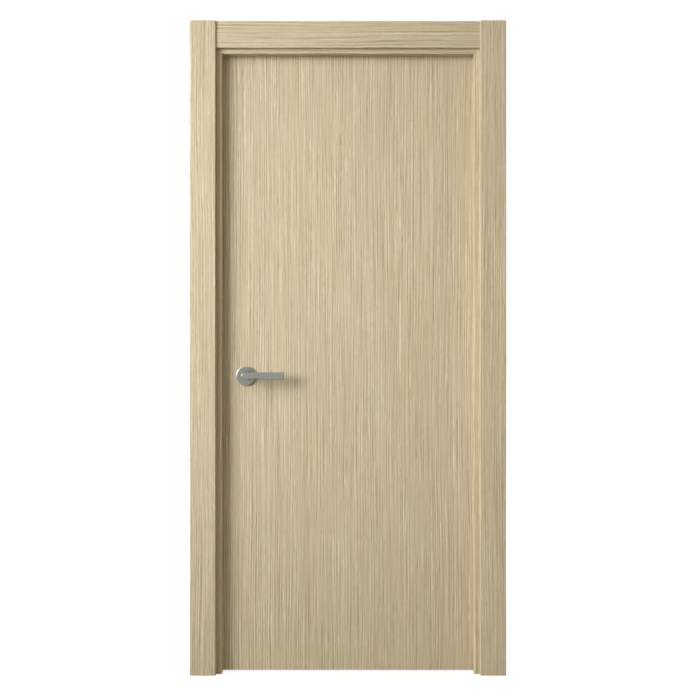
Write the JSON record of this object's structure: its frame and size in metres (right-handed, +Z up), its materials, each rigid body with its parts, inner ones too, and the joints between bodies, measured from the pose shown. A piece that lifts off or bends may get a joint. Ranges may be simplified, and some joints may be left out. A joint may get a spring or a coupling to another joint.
{
  "type": "flush hollow core door in a rebated wood lining with casings",
  "caption": "Flush hollow core interior door in a pale wood lining with flat casings, a lever handle on a round rosette and butt hinges; the leaf swings and the lever turns.",
  "frame": {"origin": "outer face of the hinge side jamb, at the finished floor, in the middle of the wall's thickness", "axes": "+Z up; +X across the doorway towards the hinge side, square to the hinge jamb's outer face; the push side faces -Y and the leaf opens towards +Y"},
  "size_m": [1.03, 0.151, 2.133],
  "materials": {
    "frame_veneer": "satin",
    "leaf_veneer": "satin",
    "leaf_inner_wood": "matt",
    "core_board": "matt",
    "satin_metal": "satin",
    "hinge_steel": "satin",
    "latch_steel": "satin"
  },
  "bodies": {
    "frame": {"jamb_lock_side": "frame_veneer", "jamb_hinge_side": "frame_veneer", "jamb_head": "frame_veneer", "stop_lock_side": "frame_veneer", "stop_hinge_side": "frame_veneer", "stop_head": "frame_veneer", "casing_front_lock_side": "frame_veneer", "casing_front_hinge_side": "frame_veneer", "casing_front_head": "frame_veneer", "casing_back_lock_side": "frame_veneer", "casing_back_hinge_side": "frame_veneer", "casing_back_head": "frame_veneer", "strike_plate": "satin_metal", "hinge_bottom_frame_half": "hinge_steel", "hinge_bottom_pin": "hinge_steel", "hinge_middle_frame_half": "hinge_steel", "hinge_middle_pin": "hinge_steel", "hinge_top_frame_half": "hinge_steel", "hinge_top_pin": "hinge_steel"},
    "leaf": {"leaf_front_skin": "leaf_veneer", "leaf_back_skin": "leaf_veneer", "leaf_lock_stile": "leaf_inner_wood", "leaf_hinge_stile": "leaf_inner_wood", "leaf_top_rail": "leaf_inner_wood", "leaf_bottom_rail": "leaf_inner_wood", "leaf_lock_block": "leaf_inner_wood", "leaf_core": "core_board", "hinge_bottom_leaf_half": "hinge_steel", "hinge_middle_leaf_half": "hinge_steel", "hinge_top_leaf_half": "hinge_steel", "rosette_front": "satin_metal", "rosette_back": "satin_metal", "latch_case": "latch_steel", "latch_faceplate": "satin_metal", "latch_bolt": "latch_steel"},
    "lever": {"lever_front": "satin_metal", "lever_back": "satin_metal", "spindle": "latch_steel"}
  },
  "joints": [
    {"name": "door_swing", "type": "hinge", "parent": "frame", "child": "leaf", "pos_m": [-0.0245, 0.0387, 1.02], "axis": [0, 0, -1], "range_deg": [0, 130]},
    {"name": "lever_turn", "type": "hinge", "parent": "leaf", "child": "lever", "pos_m": [-0.783, 0.0145, 0.975], "axis": [0, 1, 0], "range_deg": [0, 40], "stiffness_Nm_per_rad": 1.5, "springref_deg": -34.38}
  ]
}
